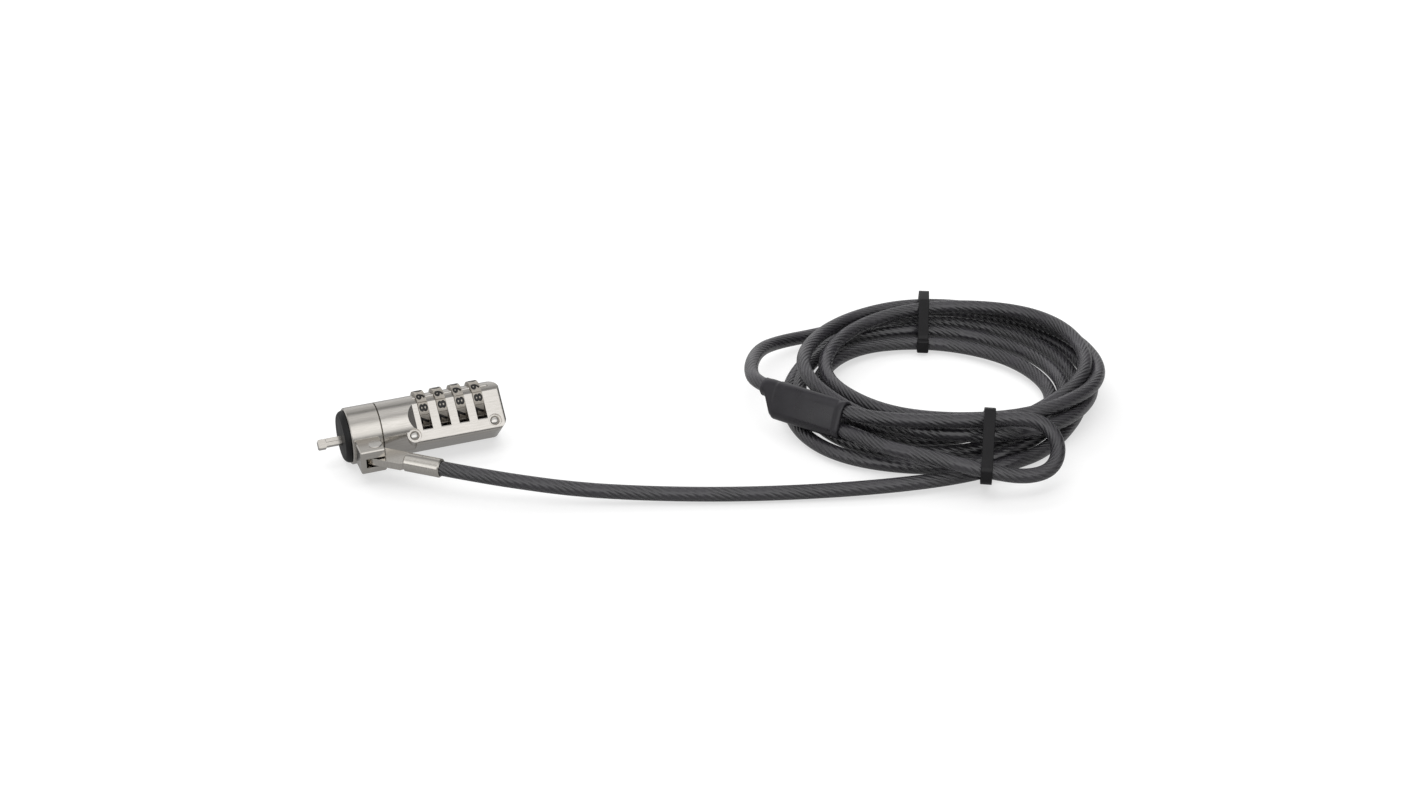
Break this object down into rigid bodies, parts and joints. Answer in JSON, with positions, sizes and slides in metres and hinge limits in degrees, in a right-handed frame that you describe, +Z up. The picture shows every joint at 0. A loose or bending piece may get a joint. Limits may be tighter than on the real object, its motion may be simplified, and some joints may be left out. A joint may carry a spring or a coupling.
{
  "type": "laptop cable lock",
  "caption": "Combination cable lock for a laptop: a cylindrical metal head with number dials on a swivelling collar, and a coated steel cable coiled and tied, ending in a crimped loop.",
  "frame": {"origin": "on the floor, below the middle of the lock head's box (the lock without its cable)", "axes": "+X along the lock head's axis from the locking hook to the button end, +Z up; the cable leaves the collar towards -Y and lies towards +X"},
  "size_m": [0.2521, 0.1203, 0.0194],
  "materials": {
    "nickel_head": "satin nickel plate over cast zinc, crisp edges",
    "nickel_collar": "satin nickel plate over cast zinc",
    "cover_metal": "satin nickel plate over cast zinc",
    "rivet_steel": "plated steel",
    "dial_metal": "nickel-plated, with engraved dark digits",
    "inner_brass": "machined",
    "hard_steel": "hardened and plated",
    "spring_steel": "drawn wire and strip",
    "button_metal": "plated",
    "pad_rubber": "moulded, matt black",
    "cable_coat": "clear smoke-grey PVC over twisted steel wire",
    "fitting_metal": "satin nickel plate",
    "crimp_aluminium": "pressed",
    "sleeve_plastic": "moulded black PVC",
    "tie_plastic": "moulded black nylon"
  },
  "bodies": {
    "cable": {"cable_fitting": "fitting_metal", "cable_lead": "cable_coat", "cable_coil": "cable_coat", "cable_tail": "cable_coat", "cable_loop": "cable_coat", "loop_crimp": "crimp_aluminium", "sleeve_cover": "sleeve_plastic", "cable_tie_far": "tie_plastic", "cable_tie_front": "tie_plastic"},
    "collar": {"swivel_collar": "nickel_collar", "clevis_pin": "rivet_steel"},
    "head": {"lock_body": "nickel_head", "back_cover": "cover_metal", "cover_rivets": "rivet_steel", "core_tube": "hard_steel", "nose_plate": "hard_steel", "blocking_bar": "hard_steel", "rubber_bumper": "pad_rubber", "return_spring": "spring_steel", "dial_leaf_spring": "spring_steel"},
    "dial_1": {"number_dial_1": "dial_metal", "gate_ring_1": "inner_brass"},
    "dial_2": {"number_dial_2": "dial_metal", "gate_ring_2": "inner_brass"},
    "dial_3": {"number_dial_3": "dial_metal", "gate_ring_3": "inner_brass"},
    "dial_4": {"number_dial_4": "dial_metal", "gate_ring_4": "inner_brass"},
    "plunger": {"locking_hook": "hard_steel", "hook_bridge": "hard_steel", "code_spindle": "hard_steel", "release_button": "button_metal"}
  },
  "joints": [
    {"name": "link_pivot", "type": "hinge", "parent": "cable", "child": "collar", "pos_m": [-0.0136, -0.00885, 0.00765], "axis": [0, 0, 1], "range_deg": [-25, 48]},
    {"name": "collar_swivel", "type": "hinge", "parent": "collar", "child": "head", "pos_m": [-0.0098, 0.00385, 0.0088], "axis": [1, 0, 0], "continuous": true},
    {"name": "dial_turn_1", "type": "hinge", "parent": "head", "child": "dial_1", "pos_m": [0.00407, 0.00471, 0.01242], "axis": [1, 0, 0], "continuous": true},
    {"name": "dial_turn_2", "type": "hinge", "parent": "head", "child": "dial_2", "pos_m": [0.00988, 0.00471, 0.01242], "axis": [1, 0, 0], "continuous": true},
    {"name": "dial_turn_3", "type": "hinge", "parent": "head", "child": "dial_3", "pos_m": [0.01568, 0.00471, 0.01242], "axis": [1, 0, 0], "continuous": true},
    {"name": "dial_turn_4", "type": "hinge", "parent": "head", "child": "dial_4", "pos_m": [0.02148, 0.00471, 0.01242], "axis": [1, 0, 0], "continuous": true},
    {"name": "button_press", "type": "slide", "parent": "head", "child": "plunger", "axis": [-1, 0, 0], "range_m": [0, 0.0024], "stiffness_N_per_m": 400, "springref_m": -0.002, "deforming": ["return_spring"]}
  ]
}
